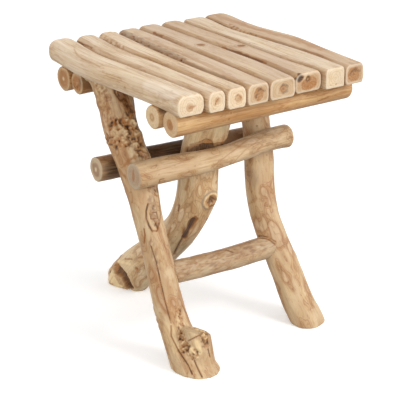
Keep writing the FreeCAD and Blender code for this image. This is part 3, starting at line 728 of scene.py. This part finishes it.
leftLeg = {
    "node": "front_left_leg", "seed": 31, "tint": {"brown": 0.15, "grey": 0.2}, "ends": [],
    "marks": [
        seen("bump", [(86, 80), (91, 90)], 12.0, rise=-7.0),
        seen("bump", [(98, 104)], 10.0, rise=2.5),
        seen("bump", [(131, 111)], 9.0, rise=4.0),
        seen("bump", [(139, 134)], 10.0, rise=4.5),
        seen("bump", [(146, 155)], 9.0, rise=4.0),
        seen("stainAndPaintedShading", [(120, 88), (127, 102), (132, 117)], 12.0, tone="brown", strength=1.0),
        seen("stainAndPaintedShading", [(122, 94), (129, 108)], 9.0, tone="dark", strength=0.45),
        seen("rough", [(121, 90), (128, 104), (132, 118)], 15.0, height=2.0, brown=0.9, dark=0.8, pale=0.1),
        seen("rough", [(99, 84), (103, 104), (109, 120)], 17.0, height=0.9, size=(7, 7, 9), brown=0.65,
             dark=0.35, pale=0.4, grey=0.1),
        seen("rough", [(114, 126), (124, 124), (134, 127)], 17.0, height=3.4, size=(11, 11, 12), brown=1.0,
             dark=1.0, pale=1.0),
        seen("rough", [(108, 140), (118, 142), (130, 140)], 16.0, height=3.0, size=(10, 10, 10), brown=0.9,
             dark=1.0, pale=1.0),
        seen("rough", [(133, 135), (139, 143)], 14.0, height=2.0, size=(10, 10, 10), brown=0.8, dark=0.8,
             pale=0.4),
        seen("rough", [(140, 151), (147, 155)], 13.0, height=2.0, size=(10, 10, 10), brown=0.8, dark=0.7,
             pale=0.4),
        seen("stainAndPaintedShading", [(150, 250), (160, 285), (168, 308)], 24.0, tone="brown", strength=0.4, ragged=0.9),
        seen("knot", [(107, 97)], 5.0, rise=1.2, brown=0.5, dark=0.4),
        seen("worn", [(104, 115)], 8.0, amount=0.16),
        seen("worn", [(118, 152), (124, 160)], 8.0, amount=0.16),
        seen("crack", [(114, 86), (115, 92), (120, 100)], 3.4, depth=3.5),
        seen("crack", [(120, 122), (123, 126)], 3.2, depth=3.0),
        seen("crack", [(109, 138), (113, 137)], 2.8, depth=2.5),
        seen("crack", [(110, 144), (112, 145)], 2.4, depth=2.0),
        seen("crack", [(131, 131), (127, 137), (131, 142)], 1.6, depth=1.4, dark=0.7),
        seen("crack", [(145, 150), (148, 153), (150, 158)], 2.0, depth=2.4),
        seen("stainAndPaintedShading", [(125, 165), (130, 160), (135, 157)], 5.0, tone="brown", strength=0.8, ragged=0.9),
        seen("stainAndPaintedShading", [(104, 110), (116, 150), (132, 176), (146, 210)], 26.0, tone="brown", strength=0.38,
             ragged=0.9),
        seen("stainAndPaintedShading", [(120, 170), (124, 176)], 5.0, tone="brown", strength=0.8),
        seen("rough", [(149, 186), (156, 192)], 12.0, height=1.0, size=(5, 5, 8), brown=0.9, dark=0.8,
             pale=0.2, grey=0.4),
        seen("rough", [(152, 200), (156, 222)], 11.0, height=1.0, size=(5, 5, 9), brown=0.5, dark=0.6,
             pale=0.3, grey=0.75),
        seen("crack", [(148, 204), (146, 211), (146, 218), (149, 226), (152, 231)], 2.0, depth=2.4),
        seen("crack", [(159, 206), (161, 214), (160, 222), (157, 231), (152, 231)], 1.4, depth=1.6,
             dark=0.7),
        seen("crack", [(150, 213), (157, 212), (158, 218), (151, 219), (150, 213)], 1.2, depth=1.0,
             dark=0.6),
        seen("stainAndPaintedShading", [(154, 216)], 4.0, tone="brown", strength=0.5, ragged=0.1),
        seen("crack", [(156, 223), (158, 228)], 2.6, depth=2.6),
        seen("crack", [(144, 229), (145, 235), (144, 243)], 1.5, depth=1.0, dark=0.4, brown=1.0),
        seen("rough", [(151, 243), (157, 268)], 8.0, height=0.5, size=(4, 4, 12), brown=0.3, dark=0.3,
             pale=0.3, grey=0.5),
        seen("worn", [(158, 290), (164, 312)], 6.0, amount=0.12),
        seen("crack", [(151, 246), (156, 262), (160, 280), (163, 293), (168, 313), (171, 323)], 1.3,
             depth=1.8, dark=0.7),
        seen("stainAndPaintedShading", [(166, 328), (176, 350)], 14.0, tone="pale", strength=0.4),
        seen("crack", [(171, 326), (171, 336), (178, 350)], 1.3, depth=1.0, dark=0.5),
        seen("crack", [(178, 350), (188, 365), (192, 374)], 1.7, depth=1.6),
        seen("crack", [(193, 357), (197, 367), (202, 377)], 1.6, depth=1.4),
        seen("stainAndPaintedShading", [(188, 360), (195, 370)], 6.0, tone="brown", strength=0.35),
        seen("rough", [(178, 312), (181, 325), (184, 336)], 10.0, height=1.2, size=(6, 6, 9), brown=0.8,
             dark=0.8, pale=0.3),
        seen("rough", [(183, 336), (187, 348), (194, 354)], 13.0, height=2.6, size=(8, 8, 11), brown=0.8,
             dark=1.0, pale=0.9),
        seen("knot", [(180, 314)], 3.2, sink=1.6, dark=0.8),
        seen("knot", [(183, 340)], 3.2, sink=2.0, dark=1.0),
        seen("knot", [(190, 346)], 3.4, sink=2.0, dark=1.0),
        seen("knot", [(184, 352)], 4.0, sink=2.4, dark=1.0),
        seen("knot", [(194, 354)], 2.8, sink=1.6, dark=0.8),
        seen("rough", [(193, 328), (203, 331), (205, 344)], 11.0, height=2.2, size=(8, 8, 9), brown=0.7,
             dark=1.0, pale=0.8),
        seen("crack", [(202, 338), (205, 345)], 2.4, depth=2.0),
        seen("crack", [(188, 341), (196, 337), (203, 333)], 1.3, depth=1.2, dark=0.6),
        seen("stainAndPaintedShading", [(197, 342), (199, 352)], 6.0, tone="pale", strength=0.8),
        seen("crack", [(208, 349), (210, 357)], 1.6, depth=1.2),
        seen("stainAndPaintedShading", [(207, 360), (211, 372)], 5.0, tone="brown", strength=0.4),
    ],
}
rightLeg = {
    "node": "front_right_leg", "seed": 32, "tint": {"brown": 0.26, "grey": 0.15}, "ends": [],
    "marks": [
        seen("worn", [(278, 180), (292, 235), (306, 270), (320, 312)], 15.0, amount=-0.14),
        seen("worn", [(262, 159)], 7.0, amount=0.15),
        seen("worn", [(262, 190), (268, 204)], 6.0, amount=0.13),
        seen("worn", [(248, 204), (256, 199), (262, 200)], 3.0, amount=0.12),
        seen("worn", [(262, 206), (264, 214), (266, 226)], 7.0, amount=0.13),
        seen("worn", [(275, 226), (280, 244)], 8.0, amount=0.24),
        seen("worn", [(276, 258), (284, 280)], 7.0, amount=0.13),
        seen("worn", [(295, 290)], 5.0, amount=0.11),
        seen("worn", [(307, 297), (313, 306)], 4.0, amount=0.13),
        seen("stainAndPaintedShading", [(250, 172), (254, 184)], 12.0, tone="grey", strength=0.4),
        # a shallow groove where the stretcher meets this leg, darkened as painted contact shade
        seen("crack", [(256, 236), (265, 237), (275, 242)], 2.2, depth=0.8, dark=0.6, brown=0.8),
        seen("knot", [(257, 126)], 2.0, sink=1.4, dark=0.8),
        seen("knot", [(267, 124)], 2.0, sink=1.4, dark=0.8),
    ],
}
rearLeg = {
    "node": "rear_leg", "seed": 33, "tint": {"pale": 0.2}, "ends": [],
    "marks": [
        # a real recess under the notch edge for the front bar; its brown and dark colour is painted shadow
        # of the notch
        seen("stainAndPaintedShading", [(188, 153), (199, 149), (207, 144), (213, 149), (224, 146)], 10.0, tone="brown",
             strength=0.7, depth=2.5, ragged=0.2, soft=0.3),
        seen("stainAndPaintedShading", [(190, 154), (200, 151), (207, 147), (213, 151), (223, 149)], 10.0, tone="dark",
             strength=0.72, ragged=0.4, soft=0.4),
        seen("crack", [(190, 145), (200, 142), (207, 139), (213, 144), (223, 142), (228, 137)], 1.2,
             depth=0.8, dark=0.2, brown=0.5),
        # painted light: a pale patch on the top of this leg, under the table top, standing in for light that
        # reaches it
        seen("stainAndPaintedShading", [(196, 132), (210, 128), (222, 126)], 22.0, tone="pale", strength=0.45),
        seen("knot", [(205, 133)], 4.5, brown=0.4, dark=0.1, collar=0.5),
        seen("bump", [(212, 200)], 20.0, rise=4.5),
        seen("knot", [(210, 200)], 13.0, rings=14.0, rise=2.0, sink=3.0, brown=0.8, dark=0.7, reach=0.7,
             pale=0.7, collar=1.0),
        seen("rough", [(210, 200)], 13.0, height=1.6, size=(5, 5, 5), brown=0.9, dark=1.0, pale=0.7),
        seen("crack", [(208, 206), (213, 203), (216, 197)], 2.6, depth=2.4),
        seen("crack", [(209, 196), (214, 199)], 2.4, depth=2.0),
        seen("stainAndPaintedShading", [(188, 180), (186, 189)], 4.5, tone="brown", strength=0.65, depth=0.6),
        seen("knot", [(216, 182)], 4.0, brown=0.7, dark=0.3),
        seen("worn", [(200, 176), (202, 196)], 10.0, amount=0.12),
        seen("stainAndPaintedShading", [(194, 219), (189, 228), (184, 237)], 6.5, tone="brown", strength=1.0, depth=1.5,
             soft=0.5, ragged=0.9),
        seen("stainAndPaintedShading", [(193, 220), (188, 229), (184, 237)], 5.5, tone="dark", strength=0.85, depth=1.0,
             soft=0.6, ragged=0.8),
        seen("crack", [(183, 237), (179, 244), (174, 254)], 2.4, depth=2.0),
        seen("crack", [(179, 205), (178, 211)], 1.8, depth=1.0, dark=0.7),
        seen("stainAndPaintedShading", [(109, 272), (113, 280), (119, 287)], 9.0, tone="pale", strength=0.8, soft=0.4),
        seen("stainAndPaintedShading", [(116, 268), (124, 276), (129, 287)], 10.0, tone="brown", strength=1.0, depth=6.0,
             ragged=0.15, soft=0.4),
        seen("stainAndPaintedShading", [(117, 269), (124, 277), (129, 288)], 8.5, tone="dark", strength=0.8, depth=3.0,
             ragged=0.4, soft=0.5),
        seen("knot", [(124, 276)], 3.5, sink=3.0, dark=1.0, reach=1.3),
        seen("knot", [(130, 286)], 3.5, sink=3.0, dark=1.0, reach=1.3),
        seen("stainAndPaintedShading", [(118, 261), (130, 264)], 3.4, tone="pale", strength=0.7),
        seen("knot", [(137, 269)], 6.0, rings=7.0, rise=1.0, brown=0.8, dark=0.5, collar=0.5),
        seen("stainAndPaintedShading", [(125, 259), (132, 259)], 1.8, tone="brown", strength=1.0),
        seen("worn", [(136, 284), (146, 275)], 9.0, amount=0.15),
        seen("worn", [(173, 226), (169, 240)], 7.0, amount=0.16),
        seen("worn", [(181, 212), (178, 220)], 5.0, amount=0.15),
        seen("worn", [(138, 252), (149, 244)], 7.0, amount=0.16),
        seen("stainAndPaintedShading", [(138, 258), (146, 256)], 2.4, tone="brown", strength=0.9, ragged=0.9),
        seen("stainAndPaintedShading", [(171, 228), (167, 238)], 2.2, tone="brown", strength=0.8, ragged=0.9),
        seen("stainAndPaintedShading", [(118, 255), (135, 245)], 8.0, tone="brown", strength=0.4),
    ],
}
legs = [woodPiece(wood, legLook) for wood in (leftLeg, rightLeg, rearLeg)]
woodFaces = sum(len(piece.data.polygons) for piece in slats + rails + bars + legs)
print("legs:", len(legs), "all wood:", woodFaces, "faces")


def fastenerMaterial(name, colours, metallic, roughness, grit):
    # One tone with a fine grit that breaks the gloss
    material = bpy.data.materials.new(name)
    material.use_nodes = True
    tree = material.node_tree
    shader = tree.nodes["Principled BSDF"]
    place = addNode(tree, "ShaderNodeTexCoord", {}, {}).node.outputs["Object"]
    speck = addNode(tree, "ShaderNodeTexNoise", {"Scale": 1000 / grit, "Detail": 3.0}, {"Vector": place})
    stops = [(0.3, colours[0]), (0.7, colours[1])]
    tone = addNode(tree, "ShaderNodeValToRGB", {"stops": stops}, {"Fac": speck})
    tree.links.new(tone, shader.inputs["Base Color"])
    settings = {"To Min": roughness - 0.1, "To Max": roughness + 0.1}
    rough = addNode(tree, "ShaderNodeMapRange", settings, {"Value": speck})
    tree.links.new(rough, shader.inputs["Roughness"])
    shader.inputs["Metallic"].default_value = metallic
    return material


# Zinc plating gives a bluish, softly mottled grey; the dowels are plain turned hardwood
zinc = fastenerMaterial("zinc_plated_steel", ("8f9396", "b9bdbd"), 1.0, 0.4, 1.5)
turnedWood = fastenerMaterial("turned_dowel_wood", ("c4a070", "dcbd90"), 0.0, 0.6, 4.0)
for node in ("slat_screws", "rail_screws", "leg_top_dowels", "cross_bar_dowels", "stretcher_dowels"):
    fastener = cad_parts[node]
    fastener.data.materials.clear()
    fastener.data.materials.append(zinc if node.endswith("screws") else turnedWood)
print("fasteners ready")

# White studio: pale paper floor, a surround with bright walls, a dimmer ceiling and little light
# from below, a large soft light from the front right and a weaker one from the front left that
# reaches under the top
studio = {
    "floorSize": 14.0, "floorDrop": 0.2 * mm, "floorTone": "fbfbfb", "floorRough": 0.95, "floorGlow": 0.22,
    "surround": 1.58, "below": 0.1, "walls": 0.95, "ceiling": 0.36,
    "key": 38.0, "keyPlace": (1.2, -2.1, 2.0), "keySize": 1.2,
    "fill": 15.0, "fillPlace": (-2.0, -2.2, 0.9), "fillSize": 1.2, "aim": (0, 0, 0.3),
}
floorShape = bmesh.new()
bmesh.ops.create_grid(floorShape, x_segments=4, y_segments=4, size=studio["floorSize"] / 2)
bmesh.ops.translate(floorShape, verts=floorShape.verts, vec=(0, 0, -studio["floorDrop"]))
floorMesh = bpy.data.meshes.new("studio_floor")
floorShape.to_mesh(floorMesh)
floorShape.free()
floor = bpy.data.objects.new("studio_floor", floorMesh)
scene.collection.objects.link(floor)
paper = bpy.data.materials.new("white_paper_floor")
paper.use_nodes = True
paperShader = paper.node_tree.nodes["Principled BSDF"]
paperShader.inputs["Base Color"].default_value = linear(studio["floorTone"])
paperShader.inputs["Roughness"].default_value = studio["floorRough"]
paperShader.inputs["Emission Color"].default_value = linear(studio["floorTone"])
paperShader.inputs["Emission Strength"].default_value = studio["floorGlow"]
floorMesh.materials.append(paper)
floor.visible_diffuse = False  # the dim lower surround lights the underside instead

world = bpy.data.worlds.new("white_surround")
world.use_nodes = True
worldTree = world.node_tree
surround = worldTree.nodes["Background"]
heading = addNode(worldTree, "ShaderNodeTexCoord", {}, {}).node.outputs["Generated"]
height = addNode(worldTree, "ShaderNodeSeparateXYZ", {}, {0: heading}).node.outputs["Z"]
share = addNode(worldTree, "ShaderNodeMapRange", {"From Min": -1.0}, {"Value": height})
stops = [(0.4, studio["below"]), (0.495, studio["walls"]), (0.7, studio["walls"]), (0.85, studio["ceiling"])]
brightness = addNode(worldTree, "ShaderNodeValToRGB", {"stops": stops}, {"Fac": share})
worldTree.links.new(brightness, surround.inputs["Color"])
surround.inputs["Strength"].default_value = studio["surround"]
scene.world = world
for name in ("key", "fill"):
    lampData = bpy.data.lights.new("soft_" + name, "AREA")
    lampData.energy = studio[name]
    lampData.size = studio[name + "Size"]
    lamp = bpy.data.objects.new("soft_" + name, lampData)
    lamp.location = studio[name + "Place"]
    lamp.rotation_euler = (Vector(studio["aim"]) - lamp.location).to_track_quat("-Z", "Y").to_euler()
    scene.collection.objects.link(lamp)
scene.view_settings.view_transform = "Standard"

cameraData = bpy.data.cameras.new("photo_camera")
cameraData.lens = shot["lens"]
cameraData.sensor_width = shot["sensor"]
cameraData.dof.use_dof = False
camera = bpy.data.objects.new("photo_camera", cameraData)
camera.location = eye
camera.rotation_euler = eyeTurn.to_euler()
scene.collection.objects.link(camera)
scene.camera = camera
print("studio ready")
